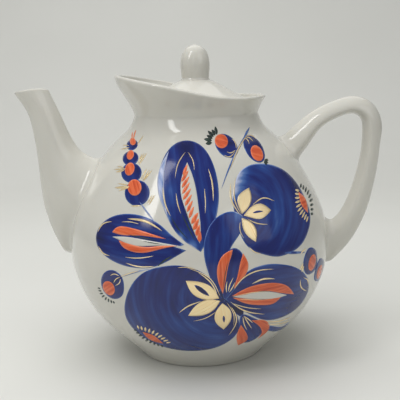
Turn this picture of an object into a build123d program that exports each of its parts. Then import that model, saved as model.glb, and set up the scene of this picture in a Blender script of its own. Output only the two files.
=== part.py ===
from build123d import *
import os
from math import cos, hypot, pi, sin

# A free-standing porcelain teapot of about three litres.
# Frame: +Z up, z = 0 on the surface it stands on, the body's axis on Z,
# the spout towards -X and the handle towards +X. All values are millimetres.

# ---- body, a shape of revolution -------------------------------------------------
WALL = 4.0                    # thickness of the body's wall
FOOT_INNER_RADIUS = 40.8      # unglazed ring that the pot stands on
FOOT_OUTER_RADIUS = 46.6
FOOT_RECESS = 3.2             # height of the hollow under the foot
FLOOR_TOP = 8.0               # height of the inside floor
FLOOR_RADIUS = 36.0           # the inside floor is flat this far out
# The body is made as bands that meet at these heights.
BASE_TOP = 22.0
LOWER_BELLY_TOP = 72.0
UPPER_BELLY_TOP = 124.0
SHOULDER_TOP = 171.6

# Outer wall as (radius, height), from just above the foot to the neck.
BODY_PROFILE = [
    (49.0, 2.6),
    (58.0, 11.6),
    (71.6, 25.0),
    (85.8, 45.0),
    (95.0, 76.0),             # widest point of the belly
    (91.6, 105.0),
    (80.0, 130.0),
    (68.8, 148.0),
    (57.0, 160.2),
    (48.6, 168.4),
    (45.0, 176.6),            # narrowest point, the neck
]

# ---- collar above the neck -------------------------------------------------------
NECK_BORE_RADIUS = 38.3       # opening that the lid's skirt drops into
SEAT_RADIUS = 42.0            # outer edge of the ledge that the lid rests on
SEAT_HEIGHT = 178.2
COLLAR_PROFILE = [            # outside, flaring upwards
    (45.0, 176.6),
    (46.2, 180.0),
    (50.0, 187.0),
    (54.4, 194.2),
    (57.5, 200.6),
    (59.4, 212.0),
]
COLLAR_WALL = 3.3
COLLAR_TOP = 212.0            # blank height, before the wavy rim is cut
RIM_CURVE = [                 # rim seen from the side: high at the spout, low at the handle
    (-66.0, 207.0),
    (-44.0, 202.7),
    (-17.0, 197.3),
    (9.0, 191.5),
    (33.0, 188.8),
    (62.0, 190.4),
]

# ---- strainer, pierced through the body's wall behind the spout ------------------
STRAINER_HOLE_RADIUS = 2.0
STRAINER_PITCH = 9.0
STRAINER_ROW_RISE = 7.8
STRAINER_BOTTOM_ROW = 88.0
STRAINER_ROWS = [2, 3, 2, 3, 2]

# ---- spout, lofted through flat stations -----------------------------------------
# Each station: its lower point (x, z), its upper point (x, z), its half width,
# and where between the two points the side ridge runs.
SPOUT_STATIONS = [
    ((-135.9, 201.4), (-110.4, 204.2), 9.4, 0.46),
    ((-129.9, 191.2), (-106.2, 194.6), 9.5, 0.47),
    ((-124.4, 182.6), (-102.9, 187.0), 9.6, 0.52),
    ((-121.0, 172.5), (-99.2, 178.2), 9.9, 0.55),
    ((-119.0, 159.5), (-94.4, 166.4), 10.6, 0.55),
    ((-117.6, 145.0), (-88.2, 154.4), 12.0, 0.51),
    ((-116.8, 129.0), (-79.0, 146.8), 14.4, 0.47),
    ((-115.0, 111.0), (-68.0, 144.0), 17.4, 0.45),
    ((-110.0, 92.5), (-60.0, 143.0), 19.6, 0.47),
    ((-101.0, 73.5), (-54.0, 142.0), 20.6, 0.50),
    ((-89.0, 56.0), (-48.0, 141.0), 21.0, 0.52),
]
SPOUT_ROUNDNESS = 1.55        # 1 is a diamond section, 2 is an ellipse
SPOUT_WALL_AT_LIP = 2.6
SPOUT_WALL_AT_ROOT = 4.0
LIP_CUT = [(-150.0, 191.0), (-132.0, 195.0), (-119.0, 197.0), (-109.4, 196.8), (-95.0, 192.0)]

# ---- handle, lofted square to its centre line ------------------------------------
HANDLE_CENTRE = [
    (58.0, 141.0),
    (71.5, 153.0),
    (87.5, 169.6),
    (103.2, 177.6),
    (117.0, 179.6),
    (126.6, 172.6),
    (128.6, 158.0),
    (126.6, 139.0),
    (122.0, 118.0),
    (113.8, 96.8),
    (101.0, 81.0),
    (84.0, 69.5),
]
# Share of the centre line's length, thickness there, half width there.
HANDLE_SIZES = [
    (0.00, 22.0, 11.0),
    (0.09, 19.0, 9.9),
    (0.18, 14.2, 8.9),
    (0.28, 12.5, 8.5),
    (0.38, 13.2, 8.5),
    (0.44, 14.4, 8.6),
    (0.54, 13.4, 8.6),
    (0.68, 15.4, 8.9),
    (0.80, 18.0, 9.3),
    (0.90, 23.5, 10.0),
    (1.00, 30.0, 11.0),
]
HANDLE_STATION_COUNT = 17
HANDLE_RIDGE = 0.34           # side ridge, as a share of the thickness from the finger side
HANDLE_ROUNDNESS = 1.65
SECTION_POINTS = 16

# ---- lid and its knob ------------------------------------------------------------
LID_PROFILE = [(0.0, 202.6), (10.0, 200.8), (24.0, 193.6), (36.0, 186.6), (40.4, 183.6)]
LID_FLANGE_RADIUS = 41.3
LID_SKIRT_RADIUS = 37.6
LID_SKIRT_BOTTOM = 164.5
LID_SKIRT_WALL = 3.4
STEAM_HOLE_RADIUS = 1.6
STEAM_HOLE_OFFSET = 22.0      # on the side away from the painted front
KNOB_PROFILE = [(9.7, 197.6), (10.1, 204.4), (10.6, 211.2), (9.7, 217.7), (6.7, 223.0), (0.0, 226.0)]


def at(radius, height):
    """A point of a side view, in the plane y = 0."""
    return Vector(radius, 0, height)


def inset(points, wall):
    """The points moved a wall's thickness towards the axis, square to the outline."""
    moved = []
    for i in range(1, len(points) - 1):
        run = points[i + 1][0] - points[i - 1][0]
        rise = points[i + 1][1] - points[i - 1][1]
        length = hypot(run, rise)
        r, z = points[i]
        moved.append((r - wall * rise / length, z + wall * run / length))
    return moved


def turned(*edges):
    """The solid that a closed side view sweeps about the axis."""
    return revolve(make_face(Wire(edges)), axis=Axis.Z)


def corners(*points):
    """Straight edges from point to point of a side view."""
    return Polyline(*[at(r, z) for r, z in points]).edges()


def outer_blank():
    """The body and collar as one filled shape, with the hollow under the foot."""
    foot = corners(
        (0, COLLAR_TOP), (0, FOOT_RECESS), (FOOT_INNER_RADIUS - 2, FOOT_RECESS),
        (FOOT_INNER_RADIUS, 0), (FOOT_OUTER_RADIUS, 0),
    )
    edge = ThreePointArc(at(FOOT_OUTER_RADIUS, 0), at(48.2, 0.9), at(*BODY_PROFILE[0]))
    body = Spline(*[at(r, z) for r, z in BODY_PROFILE], tangents=[(0.7, 0, 0.71), (-0.1, 0, 1)])
    collar = Spline(*[at(r, z) for r, z in COLLAR_PROFILE], tangents=[(0.1, 0, 1), (0.12, 0, 1)])
    top = corners((COLLAR_PROFILE[-1][0], COLLAR_TOP), (0, COLLAR_TOP))
    return turned(*foot, edge, body, collar, *top)


def cavity():
    """The space inside: floor, belly, neck bore, lid seat and flared collar."""
    wall_points = inset(BODY_PROFILE, WALL)[1:]
    start = (FLOOR_RADIUS, FLOOR_TOP)
    bore_bottom = (NECK_BORE_RADIUS, SHOULDER_TOP)
    belly = Spline(
        *[at(r, z) for r, z in [start] + wall_points[:-1] + [bore_bottom]],
        tangents=[(1, 0, 0), (-0.15, 0, 1)],
    )
    seat = corners(bore_bottom, (NECK_BORE_RADIUS, SEAT_HEIGHT), (SEAT_RADIUS, SEAT_HEIGHT))
    flare_points = [(SEAT_RADIUS, SEAT_HEIGHT)] + inset(COLLAR_PROFILE, COLLAR_WALL)[1:]
    flare_end = (COLLAR_PROFILE[-1][0] - COLLAR_WALL, COLLAR_TOP)
    flare = Spline(*[at(r, z) for r, z in flare_points + [flare_end]])
    rest = corners(flare_end, (0, COLLAR_TOP), (0, FLOOR_TOP), start)
    return turned(belly, *seat, flare, *rest)


def band(shape, low, high):
    """The part of a shape between two heights."""
    slab = Pos(0, 0, (low + high) / 2) * Box(300, 300, high - low)
    return shape & slab


def above(curve, top, reach):
    """Everything over a side-view curve, as deep as the object both ways."""
    line = Spline(*[at(x, z) for x, z in curve])
    first, last = curve[0], curve[-1]
    box = corners(last, (last[0], top), (first[0], top), first)
    return extrude(make_face(Wire([line, *box])), amount=reach, both=True)


def strainer():
    """Rows of small holes through the wall, alternately two and three wide."""
    holes = []
    for row, count in enumerate(STRAINER_ROWS):
        z = STRAINER_BOTTOM_ROW + row * STRAINER_ROW_RISE
        for i in range(count):
            y = (i - (count - 1) / 2) * STRAINER_PITCH
            plane = Plane(origin=(-110, y, z), z_dir=(1, 0, 0))
            holes.append(extrude(plane * Circle(STRAINER_HOLE_RADIUS), amount=60))
    return holes


def ring(low, high, half_width, ridge, roundness):
    """A closed section between two side-view points, widest where the ridge runs."""
    low, high = at(*low), at(*high)
    points = []
    for i in range(SECTION_POINTS):
        angle = 2 * pi * i / SECTION_POINTS
        along = abs(cos(angle)) ** (2 / roundness)
        across = abs(sin(angle)) ** (2 / roundness)
        share = ridge + (1 - ridge) * along if cos(angle) > 0 else ridge * (1 - along)
        side = half_width if sin(angle) > 0 else -half_width
        points.append(low + (high - low) * share + Vector(0, side * across, 0))
    return Face(Wire([Spline(*points, periodic=True)]))


def spout_solid(wall_at_lip=0.0, wall_at_root=0.0):
    """The spout's outside, or its channel when walls are given."""
    rings = []
    for i, (low, high, half_width, ridge) in enumerate(SPOUT_STATIONS):
        share = i / (len(SPOUT_STATIONS) - 1)
        wall = wall_at_lip + (wall_at_root - wall_at_lip) * share
        length = hypot(high[0] - low[0], high[1] - low[1])
        step = ((high[0] - low[0]) * wall / length, (high[1] - low[1]) * wall / length)
        low = (low[0] + 1.15 * step[0], low[1] + 1.15 * step[1])
        high = (high[0] - 1.15 * step[0], high[1] - 1.15 * step[1])
        rings.append(ring(low, high, half_width - 1.15 * wall, ridge, SPOUT_ROUNDNESS))
    return loft(rings)


def between(table, share):
    """The table's thickness and half width at a share of the length."""
    for (s0, t0, w0), (s1, t1, w1) in zip(table, table[1:]):
        if share <= s1:
            part = (share - s0) / (s1 - s0)
            return t0 + (t1 - t0) * part, w0 + (w1 - w0) * part
    return table[-1][1:]


def handle_solid():
    """The handle's full loft, running on into the body at both ends."""
    path = Spline(*[at(x, z) for x, z in HANDLE_CENTRE])
    rings = []
    for i in range(HANDLE_STATION_COUNT):
        share = i / (HANDLE_STATION_COUNT - 1)
        centre = path @ share
        along = path % share
        inward = Vector(along.Z, 0, -along.X)
        thickness, half_width = between(HANDLE_SIZES, share)
        finger_side = centre + inward * (thickness / 2)
        outside = centre - inward * (thickness / 2)
        rings.append(ring(
            (finger_side.X, finger_side.Z), (outside.X, outside.Z),
            half_width, HANDLE_RIDGE, HANDLE_ROUNDNESS,
        ))
    return loft(rings)


def lid_dome():
    """The curve of the lid's domed top, from its middle to its edge."""
    return Spline(*[at(r, z) for r, z in LID_PROFILE], tangents=[(1, 0, 0), (0.8, 0, -0.75)])


def lid_blank():
    """The filled lid, which the knob is fitted on."""
    edge_top = (LID_FLANGE_RADIUS, LID_PROFILE[-1][1] - 1.2)
    outline = corners(
        edge_top, (LID_FLANGE_RADIUS, SEAT_HEIGHT), (LID_SKIRT_RADIUS, SEAT_HEIGHT),
        (LID_SKIRT_RADIUS, LID_SKIRT_BOTTOM), (0, LID_SKIRT_BOTTOM), LID_PROFILE[0],
    )
    shoulder = Line(at(*LID_PROFILE[-1]), at(*edge_top))
    return turned(lid_dome(), shoulder, *outline)


def lid_hollow():
    """The space under the lid, inside its skirt."""
    inner = LID_SKIRT_RADIUS - LID_SKIRT_WALL
    roof = [(0.0, 198.4), (10.0, 196.6), (22.0, 190.4), (31.0, 183.4), (inner, 177.0)]
    curve = Spline(*[at(r, z) for r, z in roof], tangents=[(1, 0, 0), (0, 0, -1)])
    below = LID_SKIRT_BOTTOM - 5
    return turned(curve, *corners(roof[-1], (inner, below), (0, below), roof[0]))


def steam_hole():
    """A small upright hole through the dome."""
    plane = Plane.XY.offset(LID_SKIRT_BOTTOM)
    hole = plane * Pos(0, STEAM_HOLE_OFFSET) * Circle(STEAM_HOLE_RADIUS)
    return extrude(hole, amount=50)


def knob_solid():
    """The egg-shaped knob, running on down into the lid."""
    side = Spline(*[at(r, z) for r, z in KNOB_PROFILE], tangents=[(0.05, 0, 1), (-1, 0, 0)])
    base = KNOB_PROFILE[0][1]
    return turned(side, *corners(KNOB_PROFILE[-1], (0, base), KNOB_PROFILE[0]))


blank = outer_blank()
shell = blank - cavity() - above(RIM_CURVE, COLLAR_TOP + 5, 70)
pot_base = band(shell, -1, BASE_TOP)
lower_belly = band(shell, BASE_TOP, LOWER_BELLY_TOP)
upper_belly = band(shell, LOWER_BELLY_TOP, UPPER_BELLY_TOP)
for hole in strainer():
    upper_belly -= hole
shoulder = band(shell, UPPER_BELLY_TOP, SHOULDER_TOP)
collar = band(shell, SHOULDER_TOP, COLLAR_TOP + 1)

spout = spout_solid() - above(LIP_CUT, 215, 30) - blank
spout -= spout_solid(SPOUT_WALL_AT_LIP, SPOUT_WALL_AT_ROOT)

handle = handle_solid() - blank

lid = lid_blank() - lid_hollow() - steam_hole()
lid_knob = knob_solid() - lid_blank()

os.makedirs("parts", exist_ok=True)
for name, shape in [
    ("pot_base", pot_base),
    ("lower_belly", lower_belly),
    ("upper_belly", upper_belly),
    ("shoulder", shoulder),
    ("collar", collar),
    ("spout", spout),
    ("handle", handle),
    ("lid", lid),
    ("lid_knob", lid_knob),
]:
    export_step(shape, f"parts/{name}.step")
    print(name, round(shape.volume), shape.bounding_box())
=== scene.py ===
from math import cos, hypot, pi, radians, sin, sqrt

import bpy
import numpy as np
from mathutils import Matrix, Vector
from mathutils.geometry import delaunay_2d_cdt
from numpy.linalg import norm


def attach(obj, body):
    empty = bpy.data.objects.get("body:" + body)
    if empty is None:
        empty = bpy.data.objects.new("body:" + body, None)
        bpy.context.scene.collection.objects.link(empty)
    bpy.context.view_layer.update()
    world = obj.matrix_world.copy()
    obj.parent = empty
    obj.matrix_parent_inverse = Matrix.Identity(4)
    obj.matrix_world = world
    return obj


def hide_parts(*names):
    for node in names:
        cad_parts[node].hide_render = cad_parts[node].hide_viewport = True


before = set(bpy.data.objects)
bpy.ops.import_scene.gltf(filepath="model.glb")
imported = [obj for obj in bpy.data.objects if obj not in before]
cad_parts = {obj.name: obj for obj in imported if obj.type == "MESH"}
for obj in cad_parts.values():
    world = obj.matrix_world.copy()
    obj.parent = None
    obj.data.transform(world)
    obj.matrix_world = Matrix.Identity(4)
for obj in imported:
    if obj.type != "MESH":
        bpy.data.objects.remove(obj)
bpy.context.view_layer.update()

# Lengths below are millimetres in the CAD frame; meshes are written in metres.
MM = 0.001

# ---- the pot's shape, as (radius, height) outlines ---------------------------------
BODY_PROFILE = [
    (49, 2.6), (58, 11.6), (71.6, 25), (85.8, 45), (95, 76), (91.6, 105),
    (80, 130), (68.8, 148), (57, 160.2), (48.6, 168.4), (45, 176.6),
]
COLLAR_PROFILE = [
    (45, 176.6), (46.2, 180), (50, 187), (54.4, 194.2), (57.5, 200.6), (59.4, 212),
]
FOOT_PROFILE = [
    (0, 3.2), (38.4, 3.2), (39.6, 2.4), (40.4, 0.8), (41.4, 0), (46.4, 0), (47.8, 0.6), (49, 2.6),
]
RIM_CURVE = [(-66, 207), (-44, 202.7), (-17, 197.3), (9, 191.5), (33, 188.8), (62, 190.4)]
WALL = 4.0
COLLAR_WALL = 3.3
NECK_BORE_RADIUS = 38.3
SEAT_RADIUS = 42.0
SEAT_HEIGHT = 178.2
FLOOR_TOP = 8.0
FLOOR_RADIUS = 36.0
BORE_BOTTOM = 171.6
RIM_ROUND = 1.5
COLUMNS = 240

STRAINER_ROWS = [2, 3, 2, 3, 2]
STRAINER_PITCH = 9.0
STRAINER_BOTTOM_ROW = 88.0
STRAINER_ROW_RISE = 7.8
STRAINER_HOLE_RADIUS = 2.0
HOLE_SIDES = 24

SPOUT_STATIONS = [
    ((-135.9, 201.4), (-110.4, 204.2), 9.4, 0.46),
    ((-129.9, 191.2), (-106.2, 194.6), 9.5, 0.47),
    ((-124.4, 182.6), (-102.9, 187), 9.6, 0.52),
    ((-121, 172.5), (-99.2, 178.2), 9.9, 0.55),
    ((-119, 159.5), (-94.4, 166.4), 10.6, 0.55),
    ((-117.6, 145), (-88.2, 154.4), 12, 0.51),
    ((-116.8, 129), (-79, 146.8), 14.4, 0.47),
    ((-115, 111), (-68, 144), 17.4, 0.45),
    ((-110, 92.5), (-60, 143), 19.6, 0.47),
    ((-101, 73.5), (-54, 142), 20.6, 0.50),
    ((-89, 56), (-48, 141), 21, 0.52),
]
SPOUT_ROUNDNESS = 1.55
SPOUT_WALL_AT_LIP = 2.6
SPOUT_WALL_AT_ROOT = 4.0
LIP_ROUND = 1.1
SPOUT_FILLET = 8.0
LIP_CUT = [(-150, 191), (-132, 195), (-119, 197), (-109.4, 196.8), (-95, 192)]

HANDLE_CENTRE = [
    (58, 141), (71.5, 153), (87.5, 169.6), (103.2, 177.6), (117, 179.6), (126.6, 172.6),
    (128.6, 158), (126.6, 139), (122, 118), (113.8, 96.8), (101, 81), (84, 69.5),
]
HANDLE_SIZES = [
    (0.00, 22, 11), (0.09, 19, 9.9), (0.18, 14.2, 8.9), (0.28, 12.5, 8.5), (0.38, 13.2, 8.5),
    (0.44, 14.4, 8.6), (0.54, 13.4, 8.6), (0.68, 15.4, 8.9), (0.80, 18, 9.3), (0.90, 23.5, 10),
    (1.00, 30, 11),
]
HANDLE_RIDGE = 0.34
HANDLE_ROUNDNESS = 1.65
HANDLE_UPPER_FILLET = 6.0
HANDLE_LOWER_FILLET = 7.0
ROOT_DEPTH = 0.8              # how far the spout's and handle's ends go into the body
SECTION_POINTS = 160

LID_PROFILE = [(0, 202.6), (10, 200.8), (24, 193.6), (36, 186.6), (40.4, 183.6)]
LID_UNDERSIDE = [(34.2, 177), (31, 183.4), (22, 190.4), (10, 196.6), (0, 198.4)]
KNOB_PROFILE = [(9.7, 198), (10.1, 204.4), (10.6, 211.2), (9.7, 217.7), (6.7, 223), (0, 226)]


# ---- curves ----
def path_lengths(points):
    """How far along its line each point is."""
    return np.concatenate([[0.0], np.cumsum(norm(np.diff(points, axis=0), axis=1))])


def spline(knots, values, where):
    """The natural cubic spline through the values at the knots, at each place in where."""
    n = len(knots)
    a, b = np.eye(n), np.zeros_like(values)
    for i in range(1, n - 1):
        h0, h1 = knots[i] - knots[i - 1], knots[i + 1] - knots[i]
        a[i, i - 1:i + 2] = h0 / 6, (h0 + h1) / 3, h1 / 6
        b[i] = (values[i + 1] - values[i]) / h1 - (values[i] - values[i - 1]) / h0
    second = np.linalg.solve(a, b)
    i = np.clip(np.searchsorted(knots, where) - 1, 0, n - 2)
    h = (knots[i + 1] - knots[i])[:, None]
    u = (where - knots[i])[:, None] / h
    v = 1 - u
    bend = ((v ** 3 - v) * second[i] + (u ** 3 - u) * second[i + 1]) * h * h / 6
    return v * values[i] + u * values[i + 1] + bend


def smooth(points, count):
    """count points along the smooth curve through the given ones."""
    points = np.array(points, float)
    knots = path_lengths(points)
    return spline(knots, points, np.linspace(0, knots[-1], count))


def left_of(run):
    """Unit vectors square to each step of a flat line, on its left."""
    lengths = np.maximum(norm(run, axis=1), 1e-9)
    return np.array([-run[:, 1], run[:, 0]]).T / lengths[:, None]


def inset(points, wall):
    """The points moved a wall's thickness towards the axis, square to the outline."""
    moved = []
    for before, here, after in zip(points, points[1:], points[2:]):
        run, rise = after[0] - before[0], after[1] - before[1]
        length = hypot(run, rise)
        moved.append((here[0] - wall * rise / length, here[1] + wall * run / length))
    return moved


BODY_LINE = smooth(BODY_PROFILE, 400)
RIM_LINE = smooth(RIM_CURVE, 200)
LIP_LINE = smooth(LIP_CUT, 100)


def body_radius(z):
    """The outer wall's radius at a height."""
    return np.interp(z, BODY_LINE[:, 1], BODY_LINE[:, 0])


def gap_to_body(p):
    """Distance outside the outer wall, and the wall's outward direction there."""
    r = hypot(p[0], p[1])
    slope = body_radius(p[2] + 0.5) - body_radius(p[2] - 0.5)
    length = sqrt(1 + slope * slope)
    normal = np.array([p[0] / r, p[1] / r, -slope]) / length
    return (r - body_radius(p[2])) / length, normal


def onto_body(p, gap=0.0):
    """The point moved square to the outer wall until it is the gap away from it."""
    p = np.array(p, float)
    for _ in range(4):
        distance, normal = gap_to_body(p)
        p = p - normal * (distance - gap)
    return p


# ---- meshes ----
def linked(name, data):
    """A new object in the scene."""
    item = bpy.data.objects.new(name, data)
    bpy.context.scene.collection.objects.link(item)
    return item


def new_mesh(name, points, faces, unit=MM):
    """A mesh from points in the given unit."""
    mesh = bpy.data.meshes.new(name)
    mesh.from_pydata([tuple(float(c) * unit for c in p) for p in points], [], faces)
    return mesh


def mesh_object(name, points, faces, body, materials, face_slots=None):
    """A smooth-shaded piece from points in millimetres, riding on a CAD body."""
    mesh = new_mesh(name, points, faces)
    for material in materials:
        mesh.materials.append(material)
    if face_slots is not None:
        mesh.polygons.foreach_set("material_index", face_slots)
    mesh.polygons.foreach_set("use_smooth", [True] * len(mesh.polygons))
    mesh.validate()
    mesh.update()
    piece = linked(name, mesh)
    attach(piece, body)
    return piece


def ring_faces(rows, columns, first=0):
    """Quads between neighbouring closed rings."""
    faces = []
    for r in range(rows - 1):
        for c in range(columns):
            d = (c + 1) % columns
            a = first + r * columns
            faces.append((a + c, a + d, a + columns + d, a + columns + c))
    return faces


def tube(name, rings, body, materials, capped=True):
    """A skin over a list of equal rings, with a fan over each end if it is capped."""
    columns = len(rings[0])
    points = [p for ring in rings for p in ring]
    faces = ring_faces(len(rings), columns)
    if capped:
        points.append(np.mean(rings[0], axis=0))
        faces += [(len(points) - 1, (c + 1) % columns, c) for c in range(columns)]
        points.append(np.mean(rings[-1], axis=0))
        last = (len(rings) - 1) * columns
        faces += [(len(points) - 1, last + c, last + (c + 1) % columns) for c in range(columns)]
    return mesh_object(name, points, faces, body, materials)


def spun(profile, columns=96):
    """Rings of a shape of revolution, one for each point of its outline."""
    turns = [2 * pi * c / columns for c in range(columns)]
    return [[(r * cos(a), r * sin(a), z) for a in turns] for r, z in profile]


# ---- body ----
def collar_column(angle):
    """The collar's outside, rounded rim and inside at one angle, as (radius, height)."""
    outside = smooth(COLLAR_PROFILE, 240)
    inner_points = [(SEAT_RADIUS, SEAT_HEIGHT)] + inset(COLLAR_PROFILE, COLLAR_WALL)[1:]
    inner_points.append((COLLAR_PROFILE[-1][0] - COLLAR_WALL, COLLAR_PROFILE[-1][1]))
    inside = smooth(inner_points, 240)
    rim = np.interp(outside[:, 0] * cos(angle), RIM_LINE[:, 0], RIM_LINE[:, 1])
    top = int(np.argmax(outside[:, 1] >= rim - RIM_ROUND))
    height = outside[top, 1]
    top_in = int(np.argmax(inside[:, 1] >= height))
    up = outside[np.linspace(0, top, 26).astype(int)]
    down = inside[np.linspace(top_in, 0, 24).astype(int)]
    middle, half = (up[-1] + down[0]) / 2, (up[-1][0] - down[0][0]) / 2
    bend = [
        (middle[0] + half * cos(a), middle[1] + RIM_ROUND * sin(a))
        for a in (pi * k / 8 for k in range(1, 8))
    ]
    return np.concatenate([up, bend, down])


def body_rings():
    """The whole body from the middle of its foot, over the rim, to the inside floor."""
    foot = [(0.5, 3.2), (20.0, 3.2)] + FOOT_PROFILE[1:-1]
    outer = smooth(BODY_PROFILE, 110)[:-1]
    inner_points = inset(BODY_PROFILE, WALL)[1:-1]
    inner_points = [(FLOOR_RADIUS, FLOOR_TOP)] + inner_points + [(NECK_BORE_RADIUS, BORE_BOTTOM)]
    belly = smooth(inner_points, 56)[::-1]
    seat = [(SEAT_RADIUS - 0.6, SEAT_HEIGHT), (NECK_BORE_RADIUS + 0.5, SEAT_HEIGHT)]
    seat += [(NECK_BORE_RADIUS, SEAT_HEIGHT - 0.5), (NECK_BORE_RADIUS, 175.0)]
    floor = [(24.0, FLOOR_TOP), (12.0, FLOOR_TOP), (0.5, FLOOR_TOP)]
    columns = []
    for c in range(COLUMNS):
        angle = 2 * pi * c / COLUMNS
        line = np.concatenate([foot, outer, collar_column(angle), seat, belly, floor])
        columns.append([(r * cos(angle), r * sin(angle), z) for r, z in line])
    return [list(ring) for ring in zip(*columns)]


def cut_strainer(piece):
    """Pierces the strainer's rows of holes through the wall behind the spout."""
    turns = [2 * pi * k / HOLE_SIDES for k in range(HOLE_SIDES)]
    radius = STRAINER_HOLE_RADIUS
    points, faces = [], []
    for row, count in enumerate(STRAINER_ROWS):
        for i in range(count):
            y = (i - (count - 1) / 2) * STRAINER_PITCH
            z = STRAINER_BOTTOM_ROW + STRAINER_ROW_RISE * row
            first = len(points)
            for x in (-105.0, -60.0):
                points += [(x, y + cos(a) * radius, z + sin(a) * radius) for a in turns]
            middle, last = first + HOLE_SIDES, first + 2 * HOLE_SIDES
            faces += [tuple(f[::-1]) for f in ring_faces(2, HOLE_SIDES, first)]
            faces += [tuple(range(first, middle)), tuple(range(last - 1, middle - 1, -1))]
    drill = linked("strainer_drill", new_mesh("strainer_drill", points, faces))
    cut = piece.modifiers.new("strainer", "BOOLEAN")
    cut.object = drill
    cut.operation = "DIFFERENCE"
    cut.solver = "EXACT"
    bpy.context.view_layer.update()
    evaluated = piece.evaluated_get(bpy.context.evaluated_depsgraph_get())
    shaped = bpy.data.meshes.new_from_object(evaluated)
    piece.modifiers.remove(cut)
    piece.data = shaped
    bpy.data.objects.remove(drill)


# ---- spout and handle ----
def section(low, high, half_width, ridge, roundness, columns):
    """A closed section between two side-view points, widest where the ridge runs."""
    low, high = np.array([low[0], 0, low[1]]), np.array([high[0], 0, high[1]])
    ring = []
    for c in range(columns):
        angle = 2 * pi * c / columns
        along = abs(cos(angle)) ** (2 / roundness)
        across = abs(sin(angle)) ** (2 / roundness)
        share = ridge + (1 - ridge) * along if cos(angle) > 0 else ridge * (1 - along)
        side = half_width if sin(angle) > 0 else -half_width
        ring.append(low + (high - low) * share + np.array([0, side * across, 0]))
    return np.array(ring)


def lofted(rings, count):
    """Many rings on the smooth surface through a few."""
    knots = path_lengths(np.array([r.mean(axis=0) for r in rings]))
    flat = np.array([r.ravel() for r in rings])
    return spline(knots, flat, np.linspace(0, knots[-1], count)).reshape(count, -1, 3)


def even_columns(rings, columns):
    """The rings' points spread evenly round each ring, so no ridge is left coarse."""
    out = []
    for ring in rings:
        loop = np.vstack([ring, ring[:1]])
        length = path_lengths(loop)
        want = np.linspace(0, length[-1], columns, endpoint=False)
        out.append(np.array([np.interp(want, length, loop[:, k]) for k in range(3)]).T)
    return np.array(out)


def between(rings, column, places):
    """Points of one column of the rings, at places that fall between rings."""
    index = np.minimum(places.astype(int), len(rings) - 2)
    part = (places - index)[:, None]
    return rings[index, column] * (1 - part) + rings[index + 1, column] * part


def rooted(rings, blend, steps=10):
    """The rings cut where they near the body, and carried onto it by a smooth fillet."""
    columns = rings.shape[1]
    normals = np.zeros_like(rings)
    for c in range(columns):
        around = rings[:, (c + 1) % columns] - rings[:, c - 1]
        along = np.gradient(rings[:, c], axis=0)
        n = np.cross(around, along)
        normals[:, c] = n / norm(n, axis=1)[:, None]
    if ((rings[5] - rings[5].mean(axis=0)) * normals[5]).sum() < 0:
        normals = -normals
    gaps = np.array([[gap_to_body(p)[0] for p in ring] for ring in rings])
    kept = len(rings) - 1
    starts = []
    for c in range(columns):
        below = np.nonzero(gaps[:, c] < blend)[0]
        row = below[0] if len(below) else kept
        share = (gaps[row - 1, c] - blend) / (gaps[row - 1, c] - gaps[row, c])
        starts.append(row - 1 + share)
    rows = 60
    out = np.zeros((rows + steps + 1, columns, 3))
    for c in range(columns):
        line = between(rings, c, np.linspace(0, starts[c], rows))
        out[:rows, c] = line
        start = line[-1]
        along = line[-1] - line[-3]
        along /= norm(along)
        side = normals[min(int(starts[c]), kept - 1), c]
        under, wall = onto_body(start), gap_to_body(start)[1]
        away = side - wall * np.dot(side, wall)
        away /= max(norm(away), 1e-6)
        foot = onto_body(under + away * blend * 0.8, 0.02)
        foot_wall = gap_to_body(foot)[1]
        back = -(away - foot_wall * np.dot(away, foot_wall))
        # A cubic curve that leaves along the tube and arrives along the wall.
        first, second = start + along * blend * 0.55, foot + back * blend * 0.45
        for k in range(1, steps + 1):
            t = k / steps
            s = 1 - t
            curve = s ** 3 * start + 3 * s * s * t * first + 3 * s * t * t * second + t ** 3 * foot
            out[rows - 1 + k, c] = curve
        out[rows + steps, c] = onto_body(foot, -ROOT_DEPTH)
    return out


def spout_rings(columns=72):
    """The spout from inside its channel's root, up over the lip and down to the body."""
    def skin(wall_at_lip, wall_at_root):
        rings = []
        for i, (low, high, half_width, ridge) in enumerate(SPOUT_STATIONS):
            share = i / (len(SPOUT_STATIONS) - 1)
            wall = 1.15 * (wall_at_lip + (wall_at_root - wall_at_lip) * share)
            low, high = np.array(low), np.array(high)
            step = (high - low) * wall / norm(high - low)
            low, high, half_width = low + step, high - step, half_width - wall
            rings.append(section(low, high, half_width, ridge, SPOUT_ROUNDNESS, SECTION_POINTS))
        return even_columns(lofted(rings, 120), columns)

    def from_lip(rings):
        cut = np.zeros_like(rings)
        for c in range(columns):
            over = rings[:, c, 2] - np.interp(rings[:, c, 0], LIP_LINE[:, 0], LIP_LINE[:, 1]) + LIP_ROUND
            row = int(np.argmax(over < 0))
            share = over[row - 1] / (over[row - 1] - over[row])
            cut[:, c] = between(rings, c, np.linspace(row - 1 + share, len(rings) - 1, len(rings)))
        return cut

    outside = rooted(from_lip(skin(0, 0)), SPOUT_FILLET)
    channel = from_lip(skin(SPOUT_WALL_AT_LIP, SPOUT_WALL_AT_ROOT))
    rows = 50
    inner = np.zeros((rows, columns, 3))
    for c in range(columns):
        gaps = np.array([gap_to_body(p)[0] for p in channel[:, c]])
        buried = gaps < -ROOT_DEPTH
        stop = int(np.argmax(buried)) if buried.any() else len(gaps) - 1
        inner[:, c] = channel[np.linspace(0, stop, rows).astype(int), c]
    middle, half = (inner[0] + outside[0]) / 2, (outside[0] - inner[0]) / 2
    turns = [pi * k / 6 for k in range(1, 6)]
    up = np.array([0, 0, LIP_ROUND])
    lip = [middle - half * cos(a) + up * sin(a) for a in turns]
    return list(inner[::-1]) + lip + list(outside) + [inner[-1]]


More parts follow.
